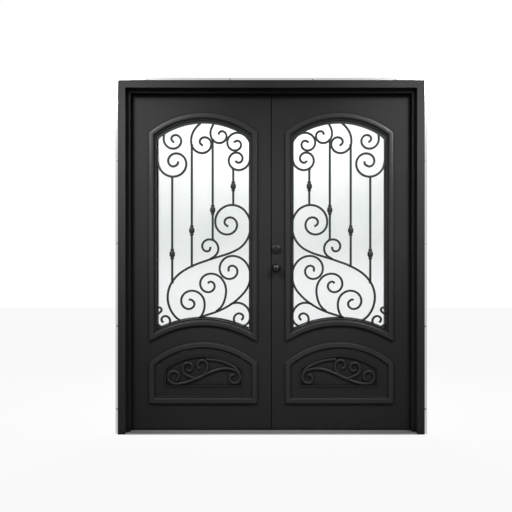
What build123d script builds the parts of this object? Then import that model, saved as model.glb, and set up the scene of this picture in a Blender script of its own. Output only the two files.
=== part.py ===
from build123d import *
import math
import os

# A double wrought iron entry door, closed, seen from outside along +Y, in millimetres.
# The origin is the middle of the threshold's underside, in the plane of the wall's outer face.
# The left leaf is drawn on the -X side and the right leaf is its mirror image.

# Frame
frame_width = 1842
frame_height = 2128
frame_depth = 150
frame_front = -28
face_width = 45
frame_back = frame_front + frame_depth
jamb_outer = frame_width / 2
reveal = jamb_outer - face_width
head_reveal = frame_height - face_width

# Stops that the leaves close against
stop_reach = 21
stop_front = frame_front + 50
stop_depth = 45
stop_back = stop_front + stop_depth

# Threshold and fixing flange
threshold_height = 8
flange_width = 18
flange_thickness = 3
flange_hole_radius = 3
flange_hole_heights = (150, 650, 1150, 1650)
flange_hole_spans = (250, 750)

# Leaves
leaf_thickness = 50
leaf_back = frame_back
leaf_front = leaf_back - leaf_thickness
running_gap = 5
leaf_outer = reveal - running_gap
leaf_inner = running_gap / 2
leaf_top = head_reveal - running_gap
leaf_foot = threshold_height + running_gap + 1

# Glazed opening: upright sides, arched head and arched foot. The moulding laps over its edge.
light_centre = -416
light_half = 286
light_head_peak = 1903
light_head_radius = 475
light_foot_peak = 693
light_foot_radius = 620
moulding_lap = 6
rebate = 16
glass_front = 98
glass_thickness = 8
glass_play = 2
bead_width = 24
bead_front = glass_front + glass_thickness

# Ridge moulding: distance from the glass edge, then height over the leaf
moulding_width = 45
moulding_section = ((0, 5), (4, 8), (18, 14.5), (25, 14.5), (41, 6), (45, 6))
inside_moulding_section = ((0, 6), (22.5, 8), (45, 6))

# Kick panel and the sunk arch in it
kick_head_peak = 500
kick_head_radius = 455
kick_foot = 217
kick_plate = 6
sunk_centre = -413
sunk_half = 231
sunk_head_peak = 458
sunk_head_radius = 385
sunk_foot = 282
rim_width = 8
rim_height = 4

# Ironwork in front of the glass. A curl is bent in short straights, each turned by chord_turn at most.
bar = 12
bar_front = leaf_front + 2
bar_back = bar_front + bar
arch_bar = 17
arch_bar_corner = 75
eye_share = 0.2
eye_least = 13
curl_step = 54
chord_turn = 28
straight_limit = 0.001

# Forged knuckle of an upright bar: height from its middle, then radius over its eight flats
knuckle_sides = 8
knuckle_section = ((-28, 8), (-22, 10.5), (-14, 10.5), (-5, 17), (5, 17), (14, 10.5), (22, 10.5), (28, 8))

# Upright bars by X from the middle of the glass, with foot and head inside the scrolls that cut them,
# and the height of the knuckle
upright_bars = (
    (-191, 906, 1564, 1086),
    (-71, 1006, 1762, 1231),
    (57, 1168, 1792, 1357),
    (183, 1384, 1613, 1502),
)

# Relief scrolls of the kick panel
relief_width = 12
relief_height = 7

# Hinges
hinge_axis_x = reveal - running_gap / 2 + 1
hinge_axis_y = frame_back + 12
hinge_radius = 9
hinge_length = 116
hinge_centres = (250, 1040, 1830)
pin_radius = 6
pin_clearance = 0.05
pin_end_gap = 1
barrel_gap = 1
tab_length = 24
tab_thickness = 8

# Lock set on the right leaf
lock_x = 30
deadbolt_z = 1117
knob_z = 1001
rose_radius = 27
rose_thickness = 8
cylinder_radius = 18
cylinder_length = 14
turn_width = 10
turn_height = 36
turn_reach = 26
knob_radius = 25
knob_sides = 16
knob_belts = (-64, -40, -14, 14, 40, 64)
knob_neck = 9
knob_reach = 60
knob_bore_clearance = 0.05
spindle_bore = 14

# The openings as middle, half width, head and foot. An arch is its peak and radius, and a flat foot has none.
light = (light_centre, light_half, (light_head_peak, light_head_radius), (light_foot_peak, light_foot_radius))
kick = (light_centre, light_half, (kick_head_peak, kick_head_radius), (kick_foot, None))
sunk = (sunk_centre, sunk_half, (sunk_head_peak, sunk_head_radius), (sunk_foot, None))


def block(x0, x1, y0, y1, z0, z1):
    """A squared bar between two corners."""
    middle = Pos((x0 + x1) / 2, (y0 + y1) / 2, (z0 + z1) / 2)
    return middle * Box(x1 - x0, y1 - y0, z1 - z0)


def upright(y):
    """The upright plane at depth y, facing outdoors."""
    return Plane(origin=(0, y, 0), x_dir=(1, 0, 0), z_dir=(0, -1, 0))


def prism(face, front, back):
    """A flat outline in X and Z given its thickness from front to back."""
    return extrude(upright(back) * face, amount=back - front, dir=(0, -1, 0))


def rod(x, z, radius, front, back):
    """A round bar that runs front to back."""
    return prism(Pos(x, z) * Circle(radius), front, back)


def twin(shape):
    """The same piece on the other leaf."""
    return mirror(shape, about=Plane.YZ)


def arch_spring(half, peak, radius):
    """Height where an arch of this radius meets the sides, below its peak."""
    return peak - radius + math.sqrt(radius**2 - half**2)


def arched_wire(centre, half, head, foot, grow=0):
    """Closed outline with upright sides. Head and foot are (peak, radius), and a flat foot has no radius."""
    side = half + grow
    head_peak = head[0] + grow
    head_spring = arch_spring(side, head_peak, head[1] + grow)
    foot_peak = foot[0] - grow
    left = centre - side
    right = centre + side
    if foot[1] is None:
        foot_spring = foot_peak
        base = Line((right, foot_spring), (left, foot_spring))
    else:
        foot_spring = arch_spring(side, foot_peak, foot[1] - grow)
        base = ThreePointArc((right, foot_spring), (centre, foot_peak), (left, foot_spring))
    rise = Line((left, foot_spring), (left, head_spring))
    arch = ThreePointArc((left, head_spring), (centre, head_peak), (right, head_spring))
    fall = Line((right, head_spring), (right, foot_spring))
    return Wire([rise, arch, fall, base])


def arched_prism(centre, half, head, foot, front, back, grow=0):
    """The arched outline as a solid slab."""
    return prism(Face(arched_wire(centre, half, head, foot, grow)), front, back)


def ring_moulding(opening, profile, face_y, outdoors=True):
    """Moulding swept round an opening on one face of the leaf, mitred at its corners."""
    centre, half, head, foot = opening
    start = Plane(
        origin=(centre - half, face_y, (head[0] + foot[0]) / 2),
        x_dir=(-1, 0, 0),
        z_dir=(0, 0, 1 if outdoors else -1),
    )
    outline = Polyline((0, 0), *profile, (moulding_width, 0), close=True)
    path = upright(face_y) * arched_wire(*opening)
    return sweep(start * make_face(outline), path=path, transition=Transition.RIGHT)


def jamb():
    """Left post of the frame, mitred to the head."""
    post = block(-jamb_outer, -reveal, frame_front, frame_back, 0, frame_height)
    return post - mitre_wedge()


def mitre_wedge():
    """What the head takes of the corner, above the 45 degree line."""
    corner = Polyline(
        (-jamb_outer, frame_height),
        (-reveal, head_reveal),
        (-reveal, frame_height),
        (-jamb_outer, frame_height),
    )
    return prism(make_face(corner), frame_front, frame_back)


def head_jamb():
    """Top of the frame between its mitres."""
    beam = block(-reveal, reveal, frame_front, frame_back, head_reveal, frame_height)
    return beam + mitre_wedge() + twin(mitre_wedge())


def stop():
    """Bar inside the left post that the leaf closes against."""
    return block(-reveal, -reveal + stop_reach, stop_front, stop_back, threshold_height, head_reveal)


def head_stop():
    """Bar under the head, between the side stops."""
    inner = reveal - stop_reach
    return block(-inner, inner, stop_front, stop_back, head_reveal - stop_reach, head_reveal)


def threshold():
    """Flat metal sill between the posts."""
    return block(-reveal, reveal, frame_front, frame_back, 0, threshold_height)


def side_flange():
    """Thin fixing strip along the left post, with its screw holes."""
    outer = jamb_outer + flange_width
    strip = block(-outer, -jamb_outer, -flange_thickness, 0, 0, frame_height + flange_width)
    for height in flange_hole_heights:
        strip -= rod(-jamb_outer - flange_width / 2, height, flange_hole_radius, -flange_thickness, 0)
    return strip


def head_flange():
    """Thin fixing strip over the head, with its screw holes."""
    strip = block(-jamb_outer, jamb_outer, -flange_thickness, 0, frame_height, frame_height + flange_width)
    for span in flange_hole_spans:
        for x in (-span, span):
            strip -= rod(x, frame_height + flange_width / 2, flange_hole_radius, -flange_thickness, 0)
    return strip


def light_cutter():
    """The glazed opening, wider behind the glass line for its rebate."""
    through = arched_prism(*light, leaf_front, leaf_back, grow=moulding_lap)
    return through + arched_prism(*light, glass_front, leaf_back, grow=rebate)


def hinge_stile():
    """Upright of the left leaf on the hinge side."""
    inner = light_centre - light_half - moulding_lap
    return block(-leaf_outer, inner, leaf_front, leaf_back, leaf_foot, leaf_top) - light_cutter()


def meeting_stile():
    """Upright of the left leaf at the middle of the doorway."""
    outer = light_centre + light_half + moulding_lap
    return block(outer, -leaf_inner, leaf_front, leaf_back, leaf_foot, leaf_top) - light_cutter()


def top_rail():
    """Top of the left leaf, arched over the glass."""
    half = light_half + moulding_lap
    low = arch_spring(half, light_head_peak + moulding_lap, light_head_radius + moulding_lap)
    left = light_centre - half
    right = light_centre + half
    return block(left, right, leaf_front, leaf_back, low, leaf_top) - light_cutter()


def lower_panel():
    """Closed lower part of the left leaf, arched under the glass."""
    left = light_centre - light_half - moulding_lap
    right = light_centre + light_half + moulding_lap
    return block(left, right, leaf_front, leaf_back, leaf_foot, light_foot_peak) - light_cutter()


def glass_pane():
    """One sheet of glass in the rebate."""
    return arched_prism(*light, glass_front, bead_front, grow=rebate - glass_play)


def glazing_bead():
    """Flat frame that holds the glass from indoors."""
    outside = arched_prism(*light, bead_front, leaf_back, grow=rebate)
    return outside - arched_prism(*light, bead_front, leaf_back, grow=rebate - bead_width)


def kick_panel():
    """Raised plate inside the kick moulding, with a thin rim round its sunk arch."""
    front = leaf_front - kick_plate
    rim = arched_prism(*sunk, front - rim_height, front, grow=rim_width)
    plate = arched_prism(*kick, front, leaf_front) + rim
    return plate - arched_prism(*sunk, front - rim_height, leaf_front)


def heading(degrees):
    """Unit vector at this angle, anticlockwise from the right."""
    return Vector(math.cos(math.radians(degrees)), math.sin(math.radians(degrees)))


def station(x, z, degrees):
    """A point that a bent bar passes, and the way it runs there."""
    return Vector(x, z), heading(degrees)


def curl(x, z, outer, shrink, start, sweep):
    """Stations of a spiral that shrinks by so much a quarter turn, down to its eye."""
    steps = math.ceil(abs(sweep) / curl_step)
    hand = math.copysign(1, sweep)
    eye = max(eye_least, outer * eye_share)
    stations = []
    for step in range(steps + 1):
        turned = sweep * step / steps
        radius = max(eye, outer - shrink * abs(turned) / 90)
        slope = -shrink / math.radians(90) if radius > eye else 0
        spoke = heading(start + turned)
        along = heading(start + turned + 90 * hand) * radius + spoke * slope
        stations.append((Vector(x, z) + spoke * radius, along.normalized()))
    return stations


def backwards(stations):
    """The same stations passed the other way."""
    return [(point, along * -1) for point, along in reversed(stations)]


def joint_point(here, there):
    """Where the two tangent arcs between two stations meet."""
    start, leaving = here
    end, arriving = there
    chord = end - start
    spread = 2 - 2 * leaving.dot(arriving)
    reach = chord.dot(leaving + arriving)
    if spread < straight_limit**2:
        length = chord.dot(chord) / (2 * reach)
    else:
        length = (math.sqrt(reach**2 + spread * chord.dot(chord)) - reach) / spread
    return (start + end + (leaving - arriving) * length) / 2


def bend(start, along, end, shift):
    """Points of one edge of a bar, on its left by shift, bent from start in the direction along to end."""
    chord = end - start
    left = Vector(-along.Y, along.X)
    rise = chord.dot(left)
    if abs(rise) < straight_limit * chord.length:
        return [start + left * shift, end + left * shift]
    radius = chord.dot(chord) / (2 * rise)
    centre = start + left * radius
    spoke = (start - centre) * (1 - shift / radius)
    turn = 2 * math.degrees(math.atan2(rise, chord.dot(along)))
    chords = math.ceil(abs(turn) / chord_turn)
    return [centre + spoke.rotate(Axis.Z, turn * step / chords) for step in range(chords + 1)]


def bar_edge(stations, shift):
    """One edge of a bar that is bent through its stations, on its left by shift."""
    start, along = stations[0]
    points = [start + Vector(-along.Y, along.X) * shift]
    for here, there in zip(stations, stations[1:]):
        joint = joint_point(here, there)
        arriving = bend(there[0], there[1] * -1, joint, -shift)
        points += bend(*here, joint, shift)[1:] + arriving[-2::-1]
    return points


def bent_bar(stations, width):
    """Flat outline of a bar bent through its stations, with square ends."""
    outline = bar_edge(stations, width / 2) + bar_edge(stations, -width / 2)[::-1]
    return make_face(Polyline(*outline, close=True))


def stacked(section, sides):
    """Upright solid of flat sides through level outlines, each given by its height and radius."""
    return loft([Pos(0, 0, height) * RegularPolygon(radius, sides) for height, radius in section], ruled=True)


def corner_scrolls():
    """Scrolls that hang from the arch, by X from the middle of the glass and height."""
    spine = station(291, 1740, 270)
    return [
        [station(-240, 1838, 268)] + curl(-178, 1786, 66, 12, 172, 453),
        [station(-292, 1730, 270)] + curl(-176, 1648, 101, 16, 188, 550),
        [station(-20, 1886, 217)] + curl(0, 1767, 74.5, 13.5, 180, 440),
        [station(66, 1890, 238)] + curl(106, 1816, 62, 13.5, 180, 350),
        backwards(curl(201, 1763, 72.5, 12.5, 45, 470)) + [spine],
        [spine] + curl(209, 1666, 76, 11.5, 0, -505),
    ]


def great_scroll():
    """The long S that crosses the glass, with a curl at each end."""
    upper = backwards(curl(154, 1273, 80.5, 14.5, 180, 445))
    stem = [
        station(175, 1387, 0),
        station(289, 1258, 270),
        station(210, 1115, 210),
        station(53, 1058, 197),
        station(-122, 984, 212),
        station(-219, 822, 270),
        station(-78, 668, 5),
    ]
    return upper + stem + curl(-80, 790, 87, 16, 0, 480)


def lower_scrolls():
    """Scrolls that branch from the great scroll and fill the foot of the glass."""
    second = backwards(curl(168, 988, 67.5, 14, 180, 395))
    second += [station(178, 1075, 0), station(288, 955, 270), station(160, 772, 212), station(-26, 698, 196)]
    left_spine = [station(-289, 700, 270)]
    return [
        [station(42, 1057, 22)] + curl(29.5, 1127, 63, 13, -10, 385),
        second,
        [station(80, 738, 30), station(139, 862, 90)] + curl(37, 897, 68.5, 12.5, 90, 400),
        [station(165, 777, 32), station(207, 788, 0)] + curl(226, 694, 60, 10.75, 0, -427),
        backwards(curl(-272, 745, 16, 1, -50, 170)) + left_spine + curl(-238, 680, 49, 7.75, 180, 420),
    ]


def arch_head_bar():
    """Bar under the arch, with the rounded corners that close the head of the grille."""
    centre, half, head, foot = light
    lower = (head[0] - arch_bar, head[1] - arch_bar)
    hole = Face(arched_wire(centre, half, lower, foot))
    upper_corners = hole.vertices().sort_by(Axis.Y)[-2:]
    rounded = hole.fillet_2d(arch_bar_corner, upper_corners)
    return prism(Face(arched_wire(*light, grow=moulding_lap)) - rounded, bar_front, bar_back)


def scroll_grille():
    """Scrollwork of the left leaf, welded to the bar under the arch and cut to the glazed opening."""
    opening = arched_prism(*light, bar_front, bar_back, grow=moulding_lap)
    bent = [bent_bar(stations, bar) for stations in corner_scrolls() + [great_scroll()] + lower_scrolls()]
    scrolls = [prism(Pos(light_centre, 0) * face, bar_front, bar_back) for face in bent]
    return (arch_head_bar() + scrolls) & opening


def grille_bars(ironwork):
    """Upright bars of the left leaf's grille with their knuckles, coped to the scrolls they meet."""
    bars = []
    for x, low, high, swelling in upright_bars:
        left = light_centre + x - bar / 2
        straight = block(left, left + bar, bar_front, bar_back, low, high) - ironwork
        between = straight.solids().sort_by(SortBy.VOLUME)[-1]
        knuckle = Pos(light_centre + x, bar_front + bar / 2, swelling) * stacked(knuckle_section, knuckle_sides)
        bars.append(between + knuckle)
    return Compound(children=bars)


def relief_scrolls():
    """Scrolls of the kick panel, by X from the middle of the glass and height."""
    left_curl = backwards(curl(-176, 336, 43, 5, -90, -330))
    right_curl = curl(188, 328, 38, 6, 10, -290)
    return [
        left_curl + [station(-50, 321, 22), station(84, 378, 17), station(150, 385, -2)] + right_curl,
        [station(-40, 322, 165)] + curl(-90, 390, 36, 6, 180, -330),
        [station(-30, 326, 22), station(14, 362, 58)] + curl(-10, 405, 37, 6, 0, 250),
        [station(20, 444, -6), station(130, 424, -20), station(226, 344, -75)],
    ]


def kick_scrolls():
    """Relief scrolls in the sunk field of the kick panel, trimmed to it."""
    front = leaf_front - relief_height
    bent = [bent_bar(stations, relief_width) for stations in relief_scrolls()]
    scrolls = [prism(Pos(light_centre, 0) * face, front, leaf_front) for face in bent]
    return (scrolls[0] + scrolls[1:]) & arched_prism(*sunk, front, leaf_front)


def hinge_rod(radius, low, high):
    """Round bar on the left leaf's hinge axis."""
    return Pos(-hinge_axis_x, hinge_axis_y, (low + high) / 2) * Cylinder(radius, high - low)


def frame_barrel(z):
    """Lower half of a weld-on barrel hinge, with its pin, on the left post."""
    low = z - hinge_length / 2
    high = z + hinge_length / 2
    tab = block(-hinge_axis_x - tab_length, -reveal, frame_back, frame_back + tab_thickness, low, z)
    return hinge_rod(hinge_radius, low, z) + tab + hinge_rod(pin_radius, low, high - pin_end_gap)


def leaf_barrel(z):
    """Upper half of the hinge, on the left leaf, bored for the pin."""
    low = z + barrel_gap
    high = z + hinge_length / 2
    tab = block(-leaf_outer, -hinge_axis_x + tab_length, leaf_back, leaf_back + tab_thickness, low, high)
    return hinge_rod(hinge_radius, low, high) + tab - hinge_rod(pin_radius + pin_clearance, low, high)


def hinge_set(half):
    """The same half of all three hinges."""
    return Compound(children=[half(z) for z in hinge_centres])


def knob_body():
    """Outdoor and indoor knobs on one spindle through the leaf."""
    belts = [(knob_radius * heading(angle).Y, knob_radius * heading(angle).X) for angle in knob_belts]
    ball = stacked(belts, knob_sides)
    middle = leaf_front + leaf_thickness / 2
    throw = leaf_thickness / 2 + knob_reach - knob_radius
    spindle = rod(lock_x, knob_z, knob_neck, middle - throw, middle + throw)
    knobs = [Pos(lock_x, middle + side * throw, knob_z) * Rot(90, 0, 0) * ball for side in (-1, 1)]
    return spindle + knobs


def rose(z, front, back, bore):
    """Round plate against the leaf, bored where something passes."""
    plate = rod(lock_x, z, rose_radius, front, back)
    if bore:
        plate -= rod(lock_x, z, bore, front, back)
    return plate


def knob_roses():
    """Plates that carry the knob on both faces of the leaf."""
    bore = knob_neck + knob_bore_clearance
    outside = rose(knob_z, leaf_front - rose_thickness, leaf_front, bore)
    inside = rose(knob_z, leaf_back, leaf_back + rose_thickness, bore)
    return Compound(children=[outside, inside])


def deadbolt():
    """Key cylinder over the knob."""
    plate = rose(deadbolt_z, leaf_front - rose_thickness, leaf_front, 0)
    return plate + rod(lock_x, deadbolt_z, cylinder_radius, leaf_front - rose_thickness - cylinder_length, leaf_front)


def thumb_turn():
    """Indoor side of the deadbolt."""
    left = lock_x - turn_width / 2
    low = deadbolt_z - turn_height / 2
    wing = block(left, left + turn_width, leaf_back, leaf_back + turn_reach, low, low + turn_height)
    return rose(deadbolt_z, leaf_back, leaf_back + rose_thickness, 0) + wing


def right_meeting_stile():
    """Right leaf's upright at the middle, bored for the knob's spindle."""
    return twin(meeting_stile()) - rod(lock_x, knob_z, spindle_bore, leaf_front, leaf_back)


left_ironwork = scroll_grille()
frame_pieces = {
    "head_jamb": head_jamb(),
    "head_stop": head_stop(),
    "threshold": threshold(),
    "head_flange": head_flange(),
}
paired_pieces = {
    "jamb": jamb(),
    "stop": stop(),
    "flange": side_flange(),
    "frame_hinges": hinge_set(frame_barrel),
    "hinge_stile": hinge_stile(),
    "top_rail": top_rail(),
    "lower_panel": lower_panel(),
    "glass_moulding": ring_moulding(light, moulding_section, leaf_front),
    "glass_pane": glass_pane(),
    "glazing_bead": glazing_bead(),
    "kick_moulding": ring_moulding(kick, moulding_section, leaf_front),
    "inside_kick_moulding": ring_moulding(kick, inside_moulding_section, leaf_back, outdoors=False),
    "kick_panel": kick_panel(),
    "kick_scrolls": kick_scrolls(),
    "scroll_grille": left_ironwork,
    "grille_bars": grille_bars(left_ironwork),
    "leaf_hinges": hinge_set(leaf_barrel),
}
lock_pieces = {
    "knob": knob_body(),
    "knob_roses": knob_roses(),
    "deadbolt": deadbolt(),
    "thumb_turn": thumb_turn(),
}

nodes = dict(frame_pieces)
for name, shape in paired_pieces.items():
    nodes["left_" + name] = shape
    nodes["right_" + name] = twin(shape)
nodes["left_meeting_stile"] = meeting_stile()
nodes["right_meeting_stile"] = right_meeting_stile()
nodes.update(lock_pieces)

os.makedirs("parts", exist_ok=True)
for name, shape in nodes.items():
    export_step(shape, f"parts/{name}.step")
print(len(nodes), "pieces written")
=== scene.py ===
import bmesh
import bpy
import math
from mathutils import Matrix, Vector


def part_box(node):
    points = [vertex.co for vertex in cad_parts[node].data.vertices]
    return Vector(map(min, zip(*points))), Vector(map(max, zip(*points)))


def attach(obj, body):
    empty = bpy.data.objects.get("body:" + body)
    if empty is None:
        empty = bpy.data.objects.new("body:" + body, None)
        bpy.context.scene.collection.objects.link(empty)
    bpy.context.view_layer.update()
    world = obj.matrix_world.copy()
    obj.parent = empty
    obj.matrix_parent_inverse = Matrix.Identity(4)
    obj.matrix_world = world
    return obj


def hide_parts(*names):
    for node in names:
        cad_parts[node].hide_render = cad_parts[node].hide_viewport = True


# A double iron entry door in its steel frame. Metres, Z up, outdoors towards -Y.
# The left leaf is drawn on the -X side, and the right leaf is its mirror image.
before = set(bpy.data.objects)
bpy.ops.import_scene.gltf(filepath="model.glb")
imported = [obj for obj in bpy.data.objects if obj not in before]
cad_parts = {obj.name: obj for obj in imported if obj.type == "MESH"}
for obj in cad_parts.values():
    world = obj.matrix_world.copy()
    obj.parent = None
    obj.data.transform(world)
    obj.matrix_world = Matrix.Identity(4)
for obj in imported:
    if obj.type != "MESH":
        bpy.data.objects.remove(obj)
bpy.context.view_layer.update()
sides = ("left", "right")
scene = bpy.context.scene
print("construction loaded:", len(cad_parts), "nodes")

# Camera: square to the door from five metres, level, at a little under one metre
view = {
    "eye": (0.0, -5.028, 0.950),
    "distance": 5.0,       # from the eye to the front of the frame
    "widthSeen": 3.072,    # metres across the picture there
    "sensor": 36.0,
    "doorColumn": 271.25,  # where the door's middle and the horizon fall in the picture
    "horizonRow": 276.3,
    "pictureSize": 512,
    "farthest": 80,
}


def addCamera():
    data = bpy.data.cameras.new("doorView")
    camera = bpy.data.objects.new("doorView", data)
    scene.collection.objects.link(camera)
    camera.location = view["eye"]
    camera.rotation_euler = (math.radians(90), 0, 0)
    data.sensor_width = view["sensor"]
    data.lens = view["sensor"] * view["distance"] / view["widthSeen"]
    data.shift_x = (view["pictureSize"] / 2 - view["doorColumn"]) / view["pictureSize"]
    data.shift_y = (view["horizonRow"] - view["pictureSize"] / 2) / view["pictureSize"]
    data.clip_end = view["farthest"]
    scene.camera = camera


# One node of a tree. An input is a value, or the output of another node that feeds it.
def put(tree, kind, settings=None, inputs=None):
    node = tree.nodes.new(kind)
    for key, value in (settings or {}).items():
        setattr(node, key, value)
    for key, value in (inputs or {}).items():
        if isinstance(value, bpy.types.NodeSocket):
            tree.links.new(value, node.inputs[key])
        else:
            node.inputs[key].default_value = value
    return node


def reckon(tree, operation, *values, clamp=False):
    return put(tree, "ShaderNodeMath", {"operation": operation, "use_clamp": clamp},
               dict(enumerate(values))).outputs[0]


# A value between two bounds, carried over to two new ones
def spanned(tree, value, old, new, shape="LINEAR"):
    return put(tree, "ShaderNodeMapRange", {"interpolation_type": shape},
               {0: value, 1: old[0], 2: old[1], 3: new[0], 4: new[1]}).outputs[0]


def mixed(tree, share, first, second, blend="MIX"):
    return put(tree, "ShaderNodeMixRGB", {"blend_type": blend},
               {"Fac": share, "Color1": first, "Color2": second}).outputs[0]


def noise(tree, place, scale, detail, roughness=0.5):
    inputs = {"Vector": place, "Scale": scale, "Detail": detail, "Roughness": roughness}
    return put(tree, "ShaderNodeTexNoise", None, inputs).outputs["Fac"]


def bumped(tree, height, strength, distance):
    return put(tree, "ShaderNodeBump", None,
               {"Height": height, "Strength": strength, "Distance": distance}).outputs[0]


# Studio: pale floor, white beyond it, lamps overhead, at each side in front, and indoors
studio = {
    "world": 0.045,
    "seen": 1.0,
    "floorSize": 40.0,
    "floorColor": (0.78, 0.78, 0.78, 1),
    "floorRoughness": 0.9,
    "floorSpecular": 0.1,
    "floorGlow": 0.94,    # how far the floor reads as plain white to the eye
    "lamps": (             # name, place, target, watts, size, and the spread of its beam in degrees
        ("overhead", (0.0, -2.4, 4.4), (0, 0.05, 1.7), 3.5, 1.6, 70),
        ("leftSide", (-1.50, -1.75, 2.75), (-0.60, 0.07, 1.32), 11.8, 0.6, 55),
        ("rightSide", (1.50, -1.75, 2.75), (0.60, 0.07, 1.32), 11.8, 0.6, 55),
        ("indoors", (0.0, 3.6, 3.4), (0, 0.1, 1.0), 85, 2.0, 120),
    ),
}


# 1 for camera, glossy and transmission rays, and 0 for the diffuse rays that light the door
def whiteRays(tree):
    path = put(tree, "ShaderNodeLightPath")
    looks = reckon(tree, "MAXIMUM", path.outputs["Is Camera Ray"], path.outputs["Is Glossy Ray"])
    return reckon(tree, "MAXIMUM", looks, path.outputs["Is Transmission Ray"])


def addStudio():
    scene.view_settings.view_transform = "Standard"
    world = bpy.data.worlds.new("whiteStudio")
    scene.world = world
    world.use_nodes = True
    tree = world.node_tree
    tree.nodes.clear()
    light = put(tree, "ShaderNodeBackground", None, {"Color": (1, 1, 1, 1), "Strength": studio["world"]})
    seen = put(tree, "ShaderNodeBackground", None, {"Color": (1, 1, 1, 1), "Strength": studio["seen"]})
    mix = put(tree, "ShaderNodeMixShader", None,
              {0: whiteRays(tree), 1: light.outputs[0], 2: seen.outputs[0]})
    put(tree, "ShaderNodeOutputWorld", None, {"Surface": mix.outputs[0]})

    half = studio["floorSize"] / 2
    corners = [(-half, -half, 0), (half, -half, 0), (half, half, 0), (-half, half, 0)]
    mesh = bpy.data.meshes.new("paleFloor")
    mesh.from_pydata(corners, [], [(0, 1, 2, 3)])
    floor = bpy.data.objects.new("paleFloor", mesh)
    scene.collection.objects.link(floor)
    paint = bpy.data.materials.new("floorPaint")
    paint.use_nodes = True
    tree = paint.node_tree
    shader = tree.nodes["Principled BSDF"]
    shader.inputs["Base Color"].default_value = studio["floorColor"]
    shader.inputs["Roughness"].default_value = studio["floorRoughness"]
    shader.inputs["Specular IOR Level"].default_value = studio["floorSpecular"]
    glow = put(tree, "ShaderNodeEmission", None, {"Strength": studio["seen"]})
    share = reckon(tree, "MULTIPLY", whiteRays(tree), studio["floorGlow"])
    mix = put(tree, "ShaderNodeMixShader", None, {0: share, 1: shader.outputs[0], 2: glow.outputs[0]})
    tree.links.new(mix.outputs[0], tree.nodes["Material Output"].inputs["Surface"])
    mesh.materials.append(paint)

    for name, place, target, power, size, spread in studio["lamps"]:
        data = bpy.data.lights.new(name, "AREA")
        data.energy = power
        data.size = size
        data.spread = math.radians(spread)
        lamp = bpy.data.objects.new(name, data)
        lamp.location = place
        lamp.visible_camera = False
        lamp.visible_transmission = False   # frosted glass shows the white studio behind it, not the lamps
        lamp.rotation_euler = (Vector(target) - Vector(place)).to_track_quat("-Z", "Y").to_euler()
        scene.collection.objects.link(lamp)


addCamera()
addStudio()
print("camera and studio ready")


def shaderGroup(name, inputs, outputs):
    tree = bpy.data.node_groups.new(name, "ShaderNodeTree")
    for label, kind, value in inputs:
        socket = tree.interface.new_socket(name=label, in_out="INPUT", socket_type="NodeSocket" + kind)
        if value is not None:
            socket.default_value = value
    for label in outputs:
        tree.interface.new_socket(name=label, in_out="OUTPUT", socket_type="NodeSocketFloat")
    return tree, tree.nodes.new("NodeGroupInput"), tree.nodes.new("NodeGroupOutput")


# Orange peel of a sprayed and baked coat, over the slow waves of hand-ground sheet steel
def paintSkinGroup():
    tree, given, result = shaderGroup("paintSkin", (
        ("Place", "Vector", None), ("Peel Scale", "Float", 420.0), ("Peel Height", "Float", 0.3),
        ("Wave Scale", "Float", 5.0), ("Wave Height", "Float", 1.0), ("Blotch Scale", "Float", 2.2),
        ("Fleck Scale", "Float", 950.0), ("Fleck Edge", "Float", 0.16), ("Fleck Core", "Float", 0.08)),
        ("Height", "Mottle", "Speck"))
    place = given.outputs["Place"]
    peel = noise(tree, place, given.outputs["Peel Scale"], detail=3.0)
    wave = noise(tree, place, given.outputs["Wave Scale"], detail=2.0)
    blotch = noise(tree, place, given.outputs["Blotch Scale"], detail=5.0, roughness=0.6)
    fleck = put(tree, "ShaderNodeTexVoronoi", None, {"Vector": place, "Scale": given.outputs["Fleck Scale"]})
    low = reckon(tree, "MULTIPLY", wave, given.outputs["Wave Height"])
    total = reckon(tree, "MULTIPLY_ADD", peel, given.outputs["Peel Height"], low)
    bounds = (given.outputs["Fleck Edge"], given.outputs["Fleck Core"])
    speck = spanned(tree, fleck.outputs["Distance"], bounds, (0.0, 1.0))
    tree.links.new(total, result.inputs["Height"])
    tree.links.new(blotch, result.inputs["Mottle"])
    tree.links.new(speck, result.inputs["Speck"])
    return tree


# Fine dust that settles on what faces up
def settledDustGroup():
    tree, given, result = shaderGroup("settledDust", (
        ("Place", "Vector", None), ("Amount", "Float", 0.5), ("Patch Scale", "Float", 14.0),
        ("Rise Least", "Float", 0.25), ("Rise Most", "Float", 0.95)), ("Mask",))
    facing = put(tree, "ShaderNodeNewGeometry")
    axes = put(tree, "ShaderNodeSeparateXYZ", None, {0: facing.outputs["Normal"]})
    bounds = (given.outputs["Rise Least"], given.outputs["Rise Most"])
    up = spanned(tree, axes.outputs["Z"], bounds, (0.0, 1.0))
    patch = noise(tree, given.outputs["Place"], given.outputs["Patch Scale"], detail=6.0)
    spread = reckon(tree, "MULTIPLY", up, patch)
    mask = reckon(tree, "MULTIPLY", spread, given.outputs["Amount"], clamp=True)
    tree.links.new(mask, result.inputs["Mask"])
    return tree


# Painted shade: colour darkened in corners and grooves, where ambient occlusion finds them shut in and shade
# falls
def creviceShadeGroup():
    tree, given, result = shaderGroup("paintedCreviceShade", (
        ("Reach", "Float", 0.016), ("Least", "Float", 0.35), ("Sharpness", "Float", 1.6)), ("PaintedShade",))
    corner = put(tree, "ShaderNodeAmbientOcclusion", {"samples": 4}, {"Distance": given.outputs["Reach"]})
    curve = reckon(tree, "POWER", corner.outputs["AO"], given.outputs["Sharpness"])
    tone = spanned(tree, curve, (0.0, 1.0), (given.outputs["Least"], 1.0))
    tree.links.new(tone, result.inputs["PaintedShade"])
    return tree


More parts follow.
